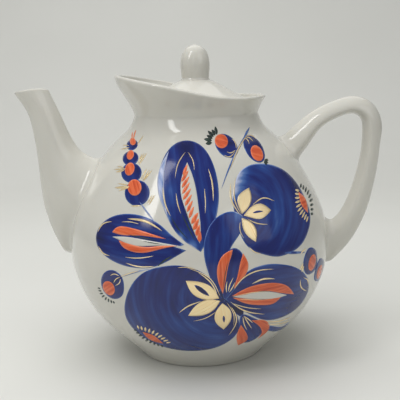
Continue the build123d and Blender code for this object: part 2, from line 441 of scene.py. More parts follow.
def handle_rings(columns=64):
    """The handle with a fillet onto the body at both roots."""
    steps = 240
    path = smooth(HANDLE_CENTRE, steps + 1)
    shares, thick, wide = zip(*HANDLE_SIZES)
    rings = []
    for i in range(0, steps + 1, 12):
        share = i / steps
        a, b = path[max(i - 1, 0)], path[min(i + 1, steps)]
        along = (b - a) / norm(b - a)
        inward = np.array([along[1], -along[0]])
        thickness, half_width = np.interp(share, shares, thick), np.interp(share, shares, wide)
        low, high = path[i] + inward * thickness / 2, path[i] - inward * thickness / 2
        rings.append(section(low, high, half_width, HANDLE_RIDGE, HANDLE_ROUNDNESS, SECTION_POINTS))
    fine = even_columns(lofted(rings, 200), columns)
    half = len(fine) // 2
    upper = rooted(fine[half::-1], HANDLE_UPPER_FILLET)
    lower = rooted(fine[half:], HANDLE_LOWER_FILLET)
    return list(upper[::-1]) + list(lower[1:])


# ---- lid and knob ----
def lid_profile():
    """Closed outline of the lid, from the top down the outside and back up inside."""
    dome = smooth(LID_PROFILE, 40)
    edge = [(40.9, 183.1), (41.3, 182.2), (41.3, 179.4), (41.0, 178.5), (40.4, 178.3), (38.0, 178.3)]
    skirt = [(37.6, 177.9), (37.6, 166.0), (37.2, 165.0), (36.4, 164.6), (35.4, 164.6), (34.5, 165.2)]
    under = smooth(LID_UNDERSIDE, 24)
    middle = np.array([(0.3, 198.4)])
    return np.concatenate([[(0.3, 202.6)], dome[1:], edge, skirt, under[:-1], middle])


def knob_profile():
    """The knob's outline, with a small bead where it meets the lid."""
    egg = smooth(KNOB_PROFILE, 48)
    foot = [(0.3, 199.6), (9.0, 199.6), (10.6, 200.4), (10.3, 201.2), (9.75, 201.9)]
    egg = egg[egg[:, 1] > 202.4]
    return np.concatenate([foot, egg[:-1], [(0.3, 226.0)]])


# ---- materials ----
def nodes_of(name):
    """A new material with its nodes, links and shader."""
    material = bpy.data.materials.new(name)
    material.use_nodes = True
    tree = material.node_tree
    return material, tree.nodes, tree.links, tree.nodes["Principled BSDF"]


def set_inputs(node, values):
    """Fixed values on the node's own sockets."""
    for name, value in values.items():
        node.inputs[name].default_value = value


def noise(nodes, links, scale, detail=3.0, vector=None):
    """Noise in object space, or over the given vector."""
    node = nodes.new("ShaderNodeTexNoise")
    set_inputs(node, {"Scale": scale, "Detail": detail})
    if vector is None:
        vector = nodes.new("ShaderNodeTexCoord").outputs["Object"]
    links.new(vector, node.inputs["Vector"])
    return node.outputs["Fac"]


def ramp(nodes, links, value, stops):
    """A colour for each level of the value."""
    node = nodes.new("ShaderNodeValToRGB")
    while len(node.color_ramp.elements) < len(stops):
        node.color_ramp.elements.new(0.5)
    for element, (place, colour) in zip(node.color_ramp.elements, stops):
        element.position = place
        element.color = (*colour, 1.0)
    links.new(value, node.inputs["Fac"])
    return node.outputs["Color"]


def bump(nodes, links, shader, height, strength, distance):
    """Fine relief on the shader's normal."""
    node = nodes.new("ShaderNodeBump")
    set_inputs(node, {"Strength": strength, "Distance": distance})
    links.new(height, node.inputs["Height"])
    links.new(node.outputs["Normal"], shader.inputs["Normal"])


def roughness(nodes, links, shader, value, low, high):
    """The shader's roughness between two levels."""
    node = nodes.new("ShaderNodeMapRange")
    set_inputs(node, {"To Min": low, "To Max": high})
    links.new(value, node.inputs["Value"])
    links.new(node.outputs["Result"], shader.inputs["Roughness"])


def glaze():
    """Clear glaze on warm white porcelain, with faint clouding and ripples."""
    material, nodes, links, shader = nodes_of("porcelain_glaze")
    cloud = noise(nodes, links, 9.0, 4.0)
    tone = ramp(nodes, links, cloud, [
        (0.30, (0.560, 0.548, 0.495)), (0.55, (0.605, 0.592, 0.535)), (0.80, (0.580, 0.570, 0.522)),
    ])
    links.new(tone, shader.inputs["Base Color"])
    roughness(nodes, links, shader, noise(nodes, links, 60.0), 0.06, 0.14)
    bump(nodes, links, shader, noise(nodes, links, 45.0, 2.0), 0.06, 0.001)
    set_inputs(shader, {
        "IOR": 1.52, "Coat Weight": 0.5, "Coat Roughness": 0.04,
        "Subsurface Weight": 0.06, "Subsurface Radius": (0.004, 0.003, 0.002),
    })
    return material


def brushed(nodes, links, along, across):
    """Streaks that follow the brush: long one way and fine across."""
    coordinates = nodes.new("ShaderNodeAttribute")
    coordinates.attribute_name = "brush"
    scale = nodes.new("ShaderNodeVectorMath")
    scale.operation = "MULTIPLY"
    scale.inputs[1].default_value = (along, across, 1.0)
    links.new(coordinates.outputs["Vector"], scale.inputs[0])
    return noise(nodes, links, 1.0, 3.0, scale.outputs["Vector"])


def paint(name, stops, streakiness, along, across, rough):
    """Ceramic colour, pale or dense by each stroke's tone, that streaks along the brush."""
    material, nodes, links, shader = nodes_of(name)
    streak = brushed(nodes, links, along, across)
    tone = nodes.new("ShaderNodeAttribute")
    tone.attribute_name = "tone"
    centred = nodes.new("ShaderNodeMath")
    centred.operation = "MULTIPLY_ADD"
    links.new(streak, centred.inputs[0])
    set_inputs(centred, {1: streakiness, 2: -0.5 * streakiness})
    total = nodes.new("ShaderNodeMath")
    total.operation = "ADD"
    links.new(centred.outputs["Value"], total.inputs[0])
    links.new(tone.outputs["Fac"], total.inputs[1])
    links.new(ramp(nodes, links, total.outputs["Value"], stops), shader.inputs["Base Color"])
    roughness(nodes, links, shader, streak, rough, rough + 0.1)
    bump(nodes, links, shader, streak, 0.08, 0.0005)
    set_inputs(shader, {"Coat Weight": 0.15, "Coat Roughness": 0.05})
    return material


def gold():
    """Burnished gold with fine brush lines."""
    material, nodes, links, shader = nodes_of("bright_gold")
    streak = brushed(nodes, links, 0.05, 1.6)
    tone = ramp(nodes, links, streak, [(0.3, (0.96, 0.72, 0.38)), (0.7, (1.00, 0.85, 0.54))])
    links.new(tone, shader.inputs["Base Color"])
    shader.inputs["Metallic"].default_value = 0.70
    roughness(nodes, links, shader, streak, 0.22, 0.40)
    bump(nodes, links, shader, streak, 0.15, 0.0003)
    return material


GLAZE = glaze()
COBALT = paint("cobalt_blue", [
    (0.15, (0.003, 0.005, 0.040)), (0.42, (0.006, 0.015, 0.135)), (0.60, (0.014, 0.050, 0.235)),
    (0.78, (0.070, 0.150, 0.380)), (1.00, (0.430, 0.470, 0.620)),
], streakiness=0.55, along=0.035, across=0.28, rough=0.10)
RED_ENAMEL = paint("red_enamel", [
    (0.20, (0.380, 0.030, 0.012)), (0.45, (0.660, 0.112, 0.035)), (0.80, (0.800, 0.230, 0.100)),
], streakiness=0.9, along=0.06, across=0.7, rough=0.14)
BLACK = paint("green_black", [
    (0.30, (0.004, 0.008, 0.008)), (0.80, (0.020, 0.040, 0.034)),
], streakiness=0.5, along=0.1, across=0.8, rough=0.2)
GOLD = gold()
PAINTS = [COBALT, GLAZE, RED_ENAMEL, BLACK, GOLD]


# ---- painting ----
# A motif's outlines are points (x, z) of the front view, laid onto the body's surface.
BLUE, PORCELAIN, RED, INK, GILT = range(5)
LEVELS = (0.06, 0.09, 0.12, 0.12, 0.15)   # how far each paint stands off the body
SUNK = 0.25                   # how far every skin goes into the body
GRID = 2.0                    # spacing of the points inside an outline
BLEED = 0.9                   # width of the paler edge of a stroke
EDGE_TONE = 0.30              # how much paler that edge is
ARC_RADIUS = 30.0             # turns an angle into a length for arced brushing
SEED_STEP = 5.3               # keeps two strokes' streaks from matching


def closed(points, count=72):
    """A smooth loop through the points."""
    points = np.array(points, float)
    wrapped = np.vstack([points[-3:], points, points[:4]])
    knots = path_lengths(wrapped)
    return spline(knots, wrapped, np.linspace(knots[3], knots[3 + len(points)], count, endpoint=False))


def leaf(points, count=96):
    """A smooth loop that comes to a point at its first point only."""
    return smooth(list(points) + [points[0]], count)[:-1]


def two_sided(one_side, other_side, count=28):
    """A shape with a point at each end, between two smooth sides."""
    there, back = smooth(one_side, count), smooth(other_side, count)
    return np.vstack([there, back[-2:0:-1]])


def oval(x, z, long_radius, short_radius, tilt=0.0, count=30):
    """An ellipse whose long axis is tilted by so many degrees."""
    turns = np.linspace(0, 2 * pi, count, endpoint=False)
    along, across = long_radius * np.cos(turns), short_radius * np.sin(turns)
    c, s = cos(radians(tilt)), sin(radians(tilt))
    return np.array([x + along * c - across * s, z + along * s + across * c]).T


def stroke(points, width, count=18, fullest=0.45):
    """A brush line through the points, thin at both ends and fullest part of the way."""
    line = smooth(points, count)
    side = left_of(np.gradient(line, axis=0))
    t = np.linspace(0, 1, count)
    bent = np.where(t < fullest, t / fullest * 0.5, 0.5 + (t - fullest) / (1 - fullest) * 0.5)
    half = (width / 2) * np.maximum(np.sin(pi * bent), 0.0)[:, None] ** 0.7
    return np.vstack([line[:1], (line + side * half)[1:-1], line[-1:], (line - side * half)[-2:0:-1]])


def pointed(start, end, width, bow=0.0):
    """A slim leaf between two places."""
    start, end = np.array(start, float), np.array(end, float)
    middle = (start + end) / 2 + np.array([start[1] - end[1], end[0] - start[0]]) * bow
    return stroke([start, middle, end], width, 12)


def fringe(middle, inner, outer, first, last, count, width):
    """Small strokes fanned about a middle, between two angles in degrees."""
    lines = []
    for k in range(count):
        angle = radians(first + (last - first) * k / (count - 1))
        way = np.array([cos(angle), sin(angle)])
        reach = outer * (1.0 - 0.12 * (k % 2))
        lines.append(pointed(middle + way * inner, middle + way * reach, width))
    return lines


def lashes(line, lengths, lean, width, count):
    """Short strokes standing along a curve, as lashes stand along a lid."""
    base = smooth(line, count)
    run = np.gradient(base, axis=0)
    run /= norm(run, axis=1)[:, None]
    lines = []
    for k in range(count):
        share = k / (count - 1)
        out = np.array([-run[k][1], run[k][0]]) + run[k] * lean * (share - 0.5)
        length = lengths[0] + (lengths[1] - lengths[0]) * sin(pi * share)
        lines.append(pointed(base[k], base[k] + out * length, width))
    return lines


def gaps_to(outline, points):
    """Distance from each point to the closed outline."""
    a, b = outline, np.roll(outline, -1, axis=0)
    run = b - a
    part = ((points[:, None] - a) * run).sum(axis=2) / np.maximum((run * run).sum(axis=1), 1e-9)
    nearest = a + np.clip(part, 0, 1)[:, :, None] * run
    return norm(points[:, None] - nearest, axis=2).min(axis=1)


def within(outline, points):
    """Which points the closed outline holds."""
    a, b = outline, np.roll(outline, -1, axis=0)
    held = np.zeros(len(points), bool)
    for (ax, az), (bx, bz) in zip(a, b):
        if az != bz:
            crossing = ax + (points[:, 1] - az) * (bx - ax) / (bz - az)
            held ^= ((az > points[:, 1]) != (bz > points[:, 1])) & (points[:, 0] < crossing)
    return held


def filled(outline):
    """Triangles over an outline, with a ring of points inside its edge and a grid beyond."""
    low, high = outline.min(axis=0), outline.max(axis=0)
    extra = np.zeros((0, 2))
    if min(high - low) > 2.4:
        grid = np.stack(np.meshgrid(
            np.arange(low[0] + GRID / 3, high[0], GRID), np.arange(low[1] + GRID / 3, high[1], GRID),
        ), axis=-1).reshape(-1, 2)
        run = np.roll(outline, -1, axis=0) - np.roll(outline, 1, axis=0)
        edge = left_of(run) * BLEED
        rings = np.vstack([outline + edge, outline - edge])
        grid = grid[gaps_to(outline, grid) > 1.7 * BLEED]
        rings = rings[gaps_to(outline, rings) > 0.9 * BLEED]
        extra = np.vstack([rings[within(outline, rings)], grid[within(outline, grid)]])
    points = [Vector(p) for p in outline] + [Vector(p) for p in extra]
    found = delaunay_2d_cdt(points, [], [list(range(len(outline)))], 1, 1e-5)
    return np.array([tuple(p) for p in found[0]]), [tuple(f) for f in found[2]]


def laid(points, gap):
    """Front-view points carried onto the body, standing the gap off its surface."""
    x, z = points[:, 0], points[:, 1]
    radius = body_radius(z)
    y = -np.sqrt(np.maximum(radius ** 2 - x ** 2, 0))
    slope = body_radius(z + 0.5) - body_radius(z - 0.5)
    normal = np.array([x / radius, y / radius, -slope]).T / np.sqrt(1 + slope ** 2)[:, None]
    return np.array([x, y, z]).T + normal * gap


class Motif:
    """One painted flower, leaf or berry: thin closed skins of colour on the body."""

    def __init__(self, name, base):
        self.name, self.base = name, np.array(base, float)
        self.points, self.faces, self.slots, self.flat = [], [], [], []
        self.tones, self.brush = [], []

    def add(self, outline, paint, lift=0.0, washes=(), arcs=False, tone=0.45):
        """One brushed shape; washes are (x, z, reach, how much paler)."""
        flat, faces = filled(outline)
        gap = gaps_to(outline, flat)
        tones = tone + EDGE_TONE * np.clip(1 - gap / BLEED, 0, 1)
        for x, z, reach, amount in washes:
            tones = tones + amount * np.exp(-((flat - (x, z)) ** 2).sum(axis=1) / reach ** 2)
        away = flat - self.base
        middle = flat.mean(axis=0) - self.base
        middle /= max(norm(middle), 1e-6)
        along = away @ middle
        across = away @ np.array([-middle[1], middle[0]])
        if arcs:
            along, across = ARC_RADIUS * np.arctan2(across, along), norm(away, axis=1)
        first, count = len(self.points), len(flat)
        self.points += list(laid(flat, LEVELS[paint] + lift)) + list(laid(flat, -SUNK))
        sides = {(a, b) for face in faces for a, b in zip(face, face[1:] + face[:1])}
        for face in faces:
            self.faces += [tuple(first + v for v in face), tuple(first + count + v for v in face[::-1])]
            self.flat += [False, False]
            for a, b in zip(face, face[1:] + face[:1]):
                if (b, a) not in sides:
                    self.faces.append((first + b, first + a, first + count + a, first + count + b))
                    self.flat.append(True)
        self.slots += [paint] * (len(self.faces) - len(self.slots))
        seed = SEED_STEP * len(self.tones)
        self.tones += list(tones) * 2
        self.brush += [(u, v, seed) for u, v in zip(along, across)] * 2

    def lens(self, paint, lift, start, end, one_side, other_side, tone=0.45):
        """A shape pointed at both ends, between two smooth sides."""
        outline = two_sided([start, *one_side, end], [start, *other_side, end])
        self.add(outline, paint, lift, tone=tone)

    def lines(self, paint, lift, lines):
        """Brush lines, each given as its points and its width."""
        for points, width in lines:
            self.add(stroke(points, width), paint, lift)

    def build(self):
        """The motif on the front, and the same again half a turn round the pot."""
        for side, turn in (("front", 1.0), ("back", -1.0)):
            points = [(turn * x, turn * y, z) for x, y, z in self.points]
            name = self.name + "_" + side
            piece = mesh_object(name, points, self.faces, "pot", PAINTS, self.slots)
            piece.data.polygons.foreach_set("use_smooth", [not f for f in self.flat])
            tone = piece.data.attributes.new("tone", "FLOAT", "POINT")
            tone.data.foreach_set("value", [float(t) for t in self.tones])
            brush = piece.data.attributes.new("brush", "FLOAT_VECTOR", "POINT")
            brush.data.foreach_set("vector", [float(c) for b in self.brush for c in b])


def tulip(m):
    """The tall upright petal, split open down the middle over red hatching."""
    m.add(leaf([
        (1, 96.3), (8, 108.5), (12.5, 122), (12.8, 138), (9, 151), (3, 159), (-6.5, 162.3), (-15, 160),
        (-24, 147), (-26, 136), (-23, 124.5), (-12.5, 106),
    ]), BLUE, washes=[
        (-18, 133, 3.5, 0.14), (-18, 126, 4, 0.10), (-20, 117, 3.4, 0.3),
        (-11, 106, 3.5, 0.3), (-4, 100, 4, 0.35), (-6, 158, 6, -0.22), (11, 120, 5, 0.12),
    ])
    m.lens(BLUE, 0.03, (-18.5, 156), (-19.5, 117.5), [(-24, 147), (-26, 136), (-24.2, 127)],
           [(-20.9, 147), (-21.8, 137), (-21, 127)], tone=0.88)
    lens_left = [(0.5, 101.5), (-3.5, 109), (-7, 118.5), (-10.3, 128), (-10.8, 138), (-6.5, 149.5)]
    lens_right = [(0.5, 101.5), (1.2, 110.5), (0.5, 120), (-1, 132.5), (-3.5, 142.5), (-6.5, 149.5)]
    m.add(two_sided(lens_left, lens_right), PORCELAIN)
    heights = [z for x, z in lens_left]
    for k in range(12):
        low = 102.4 + 3.55 * k
        high = min(low + 6.8, 149)
        start = np.interp(low, heights, [x for x, z in lens_left]) + 0.4
        left_end = np.interp(high, heights, [x for x, z in lens_left])
        right_end = np.interp(high, [z for x, z in lens_right], [x for x, z in lens_right])
        end = left_end + (0.92 if k < 4 else 0.68) * (right_end - left_end)
        width = 2.7 if k < 4 else 2.1
        m.add(stroke([(start, low), (start * 0.45 + end * 0.55 - 0.3, (low + high) / 2), (end, high)],
                     width, 14, 0.35), RED, 0.02 * (k % 2))
    m.lines(INK, 0.02, [
        ([(-10.5, 119), (-6.5, 111), (-2.5, 103)], 0.8), ([(-8.4, 121), (-5, 112.5), (-2, 106)], 0.5),
        ([(-17.5, 117.5), (-12.5, 110), (-6.5, 104)], 0.7),
    ])
    m.lines(GILT, 0, [
        ([(-7.5, 155.5), (-12, 149.5), (-14.5, 140)], 0.6), ([(-6, 155.5), (-3, 151), (-2, 144.5)], 0.6),
        ([(-22.5, 135), (-21, 125), (-17.5, 117.5)], 0.9), ([(-14, 131.5), (-13, 125), (-11, 119)], 0.7),
        ([(7, 145.5), (9, 138.5), (9.6, 126)], 0.9), ([(4.1, 134), (4.6, 126), (4.2, 119)], 0.6),
    ])


def middle_leaf(m):
    """The plain blue stroke that joins the upper flowers to the lower ones."""
    m.add(closed([
        (12, 70), (5, 84), (2.8, 95), (5, 108.5), (9.5, 115), (15.5, 118.6), (22.5, 119.3), (28, 116),
        (26.5, 107), (20.5, 99), (17, 90), (15, 78),
    ]), BLUE, 0.01, [(25, 117, 4, 0.25), (4, 94, 5, 0.1), (14, 112, 6, -0.08)], tone=0.47)


def calyx(m, disc, dash_line, dash_lean, fringe_line, fringe_lean, dashes=10, tufts=9):
    """A flower's far end: a red disc, gold dashes inside it and a dark fringe outside."""
    for dash in lashes(dash_line, (3.2, 4.6), dash_lean, 1.35, dashes):
        m.add(dash, GILT)
    for tuft in lashes(fringe_line, (2.4, 3.6), fringe_lean, 1.6, tufts):
        m.add(tuft, INK)
    m.lens(RED, 0.04, *disc)


def right_flower(m):
    """The round flower at the upper right, brushed in arcs about its base."""
    m.add(closed([
        (24.5, 137.5), (28, 143), (35.5, 146), (45.5, 145.5), (56.5, 141), (67, 131), (73.5, 119),
        (76, 106.5), (73.5, 99.5), (67, 92), (58.5, 89), (50.5, 88.5), (41, 91.5), (32.5, 96),
        (27, 103.5), (24.5, 111.5), (22.5, 121), (22, 129.5),
    ], 110), BLUE, washes=[
        (24, 138, 7, 0.55), (22, 130, 4, 0.4), (30, 145, 5, 0.3), (45, 147, 7, 0.18),
        (50, 116, 9, 0.12), (55, 105, 9, 0.10), (68, 130, 6, -0.2), (60, 139, 5, -0.12),
        (45, 94, 10, -0.06),
    ], arcs=True)
    m.add(stroke([(55, 90), (62, 88.6), (70.5, 86.6)], 1.8), BLUE, 0.02)
    m.lens(GILT, 0.02, (27.5, 117.5), (33, 132.5), [(25.6, 122.5), (25.3, 127)],
           [(31.5, 120.5), (34.3, 126)])
    m.lens(GILT, 0.02, (28.8, 116.4), (47, 117.6), [(34, 121.2), (40, 122.3)],
           [(33.5, 114.8), (40, 113.4)])
    m.add(pointed((34.6, 117.4), (41.6, 117.6), 1.3, 0.04), BLUE, 0.14, tone=0.2)
    m.lens(GILT, 0.02, (27.4, 115.2), (36, 100), [(27.8, 109.5), (30.5, 104.5)],
           [(33, 112.4), (36.6, 107)])
    m.lines(GILT, 0, [
        ([(26.5, 117), (21, 127), (21.3, 136.5)], 0.9), ([(27, 117.5), (23.2, 127), (24.5, 139)], 0.8),
        ([(34.5, 121.8), (42, 125.4), (49.8, 122.5)], 0.7),
        ([(31, 114.3), (36.5, 111.3), (44.5, 109.5)], 0.6),
        ([(31.5, 97.5), (35.5, 93.6), (39, 92.5)], 0.5), ([(26.3, 113), (26, 108), (28.2, 103)], 0.5),
    ])
    calyx(m, ((68.3, 124.5), (74.3, 110.5), [(69.3, 117.5)], [(73.6, 119)]),
          [(69, 125), (69.3, 118), (74.2, 108.5)][::-1], 0.9,
          [(70.5, 126.5), (76, 119.5), (76.6, 109.5)], 0.8)


def berry(m, skin, spot, curls=(), lift=0.0):
    """A blue berry with a red spot and gold curls."""
    middle = skin.mean(axis=0)
    m.add(skin, BLUE, lift, [(middle[0] + 2, middle[1] + 2, 3, -0.15)], tone=0.42)
    m.add(spot, RED, lift)
    for line in curls:
        m.add(stroke(line, 0.6), GILT, lift)


def top_sprig(m):
    """A twig with two berries, above the right flower."""
    twig = stroke([(36.5, 168), (31.5, 161.5), (24.5, 152), (15, 133)], 1.3, 24, 0.3)
    m.add(twig, BLUE, 0.05, tone=0.4)
    m.add(stroke([(36.6, 168.2), (34.5, 165.5), (31, 161)], 1.5), BLUE, 0.06)
    berry(m, oval(19.5, 158.3, 8.6, 6, -42), oval(16.3, 161.2, 4.5, 4.1, -30), [
        [(25, 154.5), (21, 151.7), (17.5, 153)], [(25.6, 155.5), (21.5, 154), (19.5, 154.8)],
        [(26, 156), (25.5, 160), (23.5, 162.3)],
    ])
    berry(m, oval(38.3, 155, 9.6, 5.6, -54), oval(40, 152.3, 5.2, 3.8, -54), [
        [(32, 162), (34, 161), (35.2, 158.2)], [(32.5, 162.6), (36, 161.6), (38, 159.4)],
        [(33, 163.2), (37.5, 163), (40.4, 160.6)],
    ])
    m.add(stroke([(34.3, 163.5), (28.5, 157.5), (21.2, 144.5)], 0.9), GILT, 0.06)
    for tuft in fringe((14.2, 161), 4.2, 9.6, 100, 186, 6, 2.1):
        m.add(tuft, INK)
    for tuft in fringe((43.5, 147.6), 1.2, 4.4, -48, 8, 6, 0.8):
        m.add(tuft, INK)


def left_spray(m):
    """A spike of four berries that grow towards its foot."""
    m.add(stroke([(-38, 125.5), (-34.5, 121.5), (-27.5, 113.5)], 1.1), BLUE, tone=0.6)
    berries = [
        ((-39.6, 130.5), (8.6, 7.6), 20, (-41.3, 133.6), (4.9, 4.7)),
        ((-43.8, 142.2), (7.3, 5.9), 12, (-45, 144.3), (4.1, 3.2)),
        ((-44.8, 150.7), (5.8, 4.2), 12, (-45, 152.7), (3, 2.4)),
        ((-44.3, 158.6), (4.3, 3.1), 14, (-44, 160.6), (2.1, 2.4)),
    ]
    for place, radii, tilt, spot, spot_radii in berries:
        berry(m, oval(*place, *radii, tilt), oval(*spot, *spot_radii, 60))
    m.lines(RED, 0, [
        ([(-43.6, 162), (-43.2, 165), (-42.2, 167.6)], 1), ([(-44.6, 162), (-45, 164), (-44.8, 166)], 1),
    ])
    for start, end, width in [
        ((-39.2, 148.7), (-36.6, 153.9), 0.6), ((-39.6, 147.7), (-35, 154.3), 0.8),
        ((-38.5, 147.4), (-33.4, 154.4), 0.8), ((-37, 138.5), (-33.2, 145.2), 0.7),
        ((-36, 137.7), (-31.2, 144.7), 0.8), ((-35, 138.1), (-29.5, 144.6), 0.8),
        ((-32.7, 124.2), (-29.3, 129.9), 0.7), ((-31.8, 123.6), (-27.7, 129.9), 0.8),
        ((-43.4, 122.4), (-36.8, 123.2), 0.8), ((-40.5, 158.8), (-36.4, 164.6), 0.6),
        ((-47.8, 144.2), (-56.2, 142.9), 1), ((-48.8, 143.2), (-55.2, 141.5), 0.9),
        ((-48.9, 144.9), (-54, 145.1), 0.6), ((-44.6, 133.8), (-55.3, 132.1), 1.5),
        ((-45.6, 134.7), (-53.1, 135), 0.7), ((-45.2, 133.2), (-52.5, 130.6), 0.7),
        ((-45.8, 157), (-52.3, 155.2), 0.7), ((-46.6, 158), (-51.6, 157.7), 0.5),
    ]:
        m.add(pointed(start, end, width), GILT)


def left_flower(m):
    """The two-lobed flower that points left, with a bare lens between red strokes."""
    rim = smooth([
        (-9.3, 100.8), (-16.5, 106), (-24.5, 112.5), (-39, 117.6), (-50, 117), (-59, 113.5),
        (-66, 107), (-68.6, 100), (-67, 94), (-60, 88.6), (-50, 85.6), (-39.5, 84.9), (-29, 86.5),
        (-21, 90), (-14, 94), (-8.2, 97.4),
    ], 100)
    m.add(np.vstack([rim, [(-12, 98.6), (-15, 99.2), (-12, 99.8)]]), BLUE, washes=[
        (-67, 100, 6, -0.2), (-60, 111, 5, -0.12), (-20, 109, 5, 0.12), (-38, 91, 8, 0.06),
        (-14, 96, 3, -0.15), (-14, 103, 3, -0.12),
    ])
    m.lens(RED, 0, (-56.5, 105.4), (-20.5, 104.2), [(-53.5, 108.6), (-45.5, 109.7), (-33, 107.6)],
           [(-50, 104.6), (-39, 105.3), (-30, 105)])
    m.add(two_sided(
        [(-56.5, 102.7), (-48.5, 103.7), (-36, 103.2), (-25.5, 102), (-10.5, 99.8)],
        [(-56.5, 102.7), (-50, 100.8), (-41, 98.8), (-30.5, 99.6), (-10.5, 99.2)],
    ), PORCELAIN)
    m.lens(RED, 0, (-52, 101), (-13.5, 100.3), [(-43.5, 99.4), (-34, 98.7), (-25, 99.8)],
           [(-49.5, 97.6), (-44.5, 95.4), (-36, 94.9), (-24, 98)])
    m.lines(INK, 0.02, [
        ([(-45.5, 105.2), (-36, 104.2), (-26, 102.8)], 0.6),
        ([(-36, 102.4), (-29, 101.4), (-23, 100.9)], 0.5), ([(-26.5, 87), (-22.5, 90.6), (-17, 94)], 0.9),
    ])
    m.lines(GILT, 0.02, [
        ([(-46, 114.7), (-33.5, 114), (-23, 108.8)], 1.4),
        ([(-67.2, 103.5), (-63.4, 109.3), (-56.5, 111.8)], 0.8),
        ([(-48, 91), (-38, 91.5), (-28.5, 93.6)], 0.6), ([(-47.5, 87.3), (-38.5, 85.9), (-28.5, 87)], 0.8),
        ([(-66.8, 95), (-63.4, 91.2), (-58.5, 90.3)], 0.8), ([(-50, 112.4), (-44, 113), (-38, 112.2)], 0.5),
    ])


def left_berry(m):
    """The small berry at the lower left, on a fine stem."""
    m.add(stroke([(-51.5, 77.3), (-40.5, 82.3), (-31, 85.2)], 1.1), BLUE, tone=0.6)
    m.add(stroke([(-51.5, 77.5), (-44.5, 81), (-38.5, 83.3)], 0.6), GILT)
    skin = closed([
        (-66, 71.5), (-62, 79), (-56, 81), (-51, 78), (-49.5, 70.5), (-52, 63), (-59, 60), (-64.5, 63.5),
    ])
    berry(m, skin, oval(-60.6, 67.3, 5.3, 4.4, 80), [
        [(-51.8, 77.2), (-54.5, 75.6), (-56.6, 72.4)], [(-51.6, 76), (-52.6, 73), (-55.6, 70.6)],
        [(-52.2, 77.8), (-56, 78.6), (-58.8, 76.8)],
    ])
    for tuft in lashes([(-67.2, 65.2), (-63.6, 60.2), (-58, 58.2)][::-1], (2, 3.6), 0.8, 1.2, 8):
        m.add(tuft, INK)


def big_flower(m):
    """The largest flower, low on the pot, with three gold petals at its base."""
    m.add(closed([
        (14.5, 65), (9, 75), (5, 80.5), (-1, 84.8), (-13, 88), (-24, 87), (-35.5, 82.5), (-44.5, 72.5),
        (-49.5, 60), (-50, 45.5), (-44, 34.5), (-32.5, 25.5), (-20, 21), (-6.5, 20), (6.5, 22),
        (18, 28.5), (24, 37), (24.5, 47), (20.5, 57),
    ], 120), BLUE, washes=[
        (-2, 42, 12, 0.10), (10, 32, 9, 0.12), (-18, 47, 9, 0.07), (-46, 46, 8, 0.10),
        (-13, 86, 8, -0.12), (4, 78, 6, -0.12), (22, 45, 6, -0.08), (-30, 74, 9, -0.05),
        (-30, 29, 7, 0.08),
    ], arcs=True)
    m.add(closed([
        (9.5, 68.5), (13.5, 71.5), (18.5, 69), (24.5, 64.5), (27.5, 56), (26.5, 50), (23, 52.5),
        (18, 58.5), (12, 63),
    ]), BLUE, 0.005, tone=0.25)
    m.lens(GILT, 0.02, (11.8, 65.4), (-9, 78.2), [(8, 72.6), (1, 77)], [(3.5, 65), (-4.6, 69)])
    m.add(pointed((-3.6, 75.4), (5.6, 67.6), 3), BLUE, 0.14, tone=0.2)
    m.lens(GILT, 0.02, (12.4, 63.6), (-8.2, 53.2), [(4.5, 65), (-3, 61)], [(8, 57), (1, 53.4)])
    m.lens(GILT, 0.02, (13.8, 61.8), (14.6, 40.8), [(9.2, 54.5), (9.2, 48)], [(18.6, 56.5), (19.2, 48)])
    m.add(pointed((14.6, 52.4), (14.8, 46.8), 1.5), BLUE, 0.14, tone=0.2)
    m.lines(GILT, 0.02, [
        ([(0.5, 64), (-9, 59.8), (-14, 55.3)], 0.9), ([(9.5, 55.6), (3, 51.2), (-5, 49)], 0.6),
        ([(11, 65.8), (7.4, 75.6), (-1.4, 83.8)], 0.8), ([(12.5, 66.5), (6.5, 79), (-8, 86.6)], 0.6),
        ([(19.3, 59), (23, 48.5), (17.8, 34.6)], 0.8), ([(16.8, 61.8), (21.2, 52), (21, 43)], 0.5),
        ([(-2, 85.2), (-7, 86.8), (-14, 86.6)], 0.5),
    ])
    calyx(m, ((-39.5, 35.6), (-26, 26.6), [(-33.5, 34.6)], [(-35.5, 29.4)]),
          [(-42, 38), (-34.5, 35.6), (-24, 27.6)], 0.9,
          [(-43.5, 36.4), (-37.5, 29.6), (-27, 24.4)][::-1], 0.6)


def bud(m):
    """The upright bud in the middle: two red petals over a blue one."""
    m.add(closed([
        (16, 64.5), (13.5, 72), (12.6, 82), (14.5, 91), (18.4, 96.3), (22, 97.6), (25.8, 95.5), (28, 89.5),
        (27, 81), (23, 72.5), (18.6, 67),
    ]), BLUE, 0.03, [(21, 93, 5, -0.15)])
    m.lens(RED, 0.03, (14.2, 68.5), (21, 96.8), [(11.4, 77), (11.2, 87), (15.5, 94.3)],
           [(16.4, 79), (18.6, 89), (20.2, 93.5)])
    m.lens(RED, 0.03, (21, 71.4), (27.6, 93.8), [(24, 81), (25.6, 88)], [(27, 77.5), (30.8, 85.5)])
    m.add(stroke([(14.6, 72), (15.6, 80), (18, 90)], 0.5), INK, 0.06)
    m.lines(GILT, 0.05, [
        ([(17.6, 69.6), (18.6, 74), (21, 79)], 0.6), ([(16.6, 69.2), (16.4, 73), (17, 77)], 0.6),
        ([(18.2, 69.2), (20.4, 72.4), (22, 76)], 0.6),
    ])


